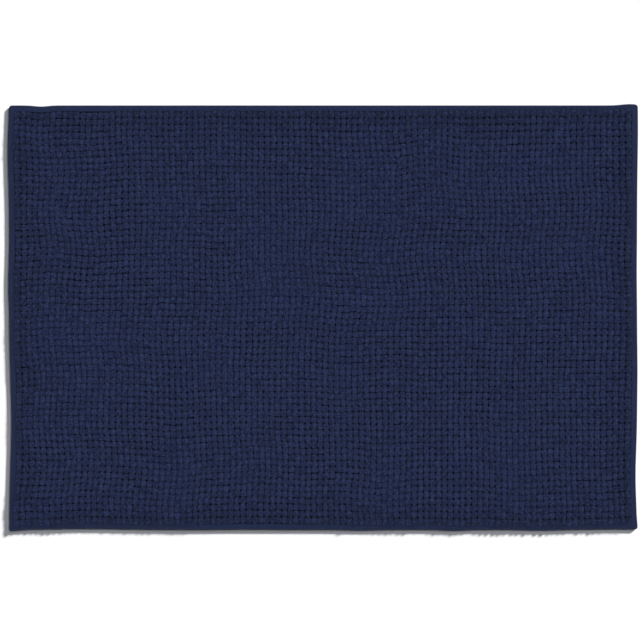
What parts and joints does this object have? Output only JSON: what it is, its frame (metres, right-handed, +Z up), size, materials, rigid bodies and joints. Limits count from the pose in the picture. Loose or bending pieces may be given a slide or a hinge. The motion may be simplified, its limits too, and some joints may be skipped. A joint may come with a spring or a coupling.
{
  "type": "bath mat",
  "caption": "Rectangular bath mat with a looped chenille pile, folded edge binding and an anti-slip rubber back.",
  "frame": {"origin": "centre of the underside, on the floor that the mat lies on", "axes": "+X along the mat's length and along the rows of loops, +Y across its width, +Z up out of the pile"},
  "size_m": [0.895, 0.605, 0.0155],
  "materials": {
    "chenille": "soft microfibre pile, navy",
    "binding_tape": "woven polyester tape, navy",
    "seam_thread": "spun polyester thread, navy",
    "ground_cloth": "plain-woven polyester, navy",
    "latex": "matt foamed latex, grey-blue",
    "label_ribbon": "woven satin ribbon, white, blank"
  },
  "bodies": {
    "root": {"binding_back": "binding_tape", "binding_front": "binding_tape", "binding_left": "binding_tape", "binding_right": "binding_tape", "bobbin_thread_back": "seam_thread", "bobbin_thread_front": "seam_thread", "bobbin_thread_left": "seam_thread", "bobbin_thread_right": "seam_thread", "care_label": "label_ribbon", "edge_yarn_back": "chenille", "edge_yarn_front": "chenille", "ground_cloth": "ground_cloth", "latex_backing": "latex", "needle_thread_back": "seam_thread", "needle_thread_front": "seam_thread", "needle_thread_left": "seam_thread", "needle_thread_right": "seam_thread", "pile_rows_01_02": "chenille", "pile_rows_03_04": "chenille", "pile_rows_05_06": "chenille", "pile_rows_07_08": "chenille", "pile_rows_09_10": "chenille", "pile_rows_11_12": "chenille", "pile_rows_13_14": "chenille", "pile_rows_15_16": "chenille", "pile_rows_17_18": "chenille", "pile_rows_19_20": "chenille", "pile_rows_21_22": "chenille", "pile_rows_23_24": "chenille", "pile_rows_25_26": "chenille", "pile_rows_27_28": "chenille", "pile_rows_29_30": "chenille", "pile_rows_31_32": "chenille", "pile_rows_33_34": "chenille", "pile_rows_35_36": "chenille", "pile_rows_37_38": "chenille", "pile_rows_39_40": "chenille", "pile_rows_41_42": "chenille", "pile_rows_43_44": "chenille", "pile_rows_45_46": "chenille", "pile_rows_47_48": "chenille", "pile_rows_49_50": "chenille", "pile_rows_51_52": "chenille", "pile_rows_53_54": "chenille", "pile_rows_55_56": "chenille", "pile_rows_57_58": "chenille", "pile_rows_59_60": "chenille", "pile_rows_61_62": "chenille", "pile_rows_63_64": "chenille", "pile_rows_65_66": "chenille"}
  },
  "joints": []
}
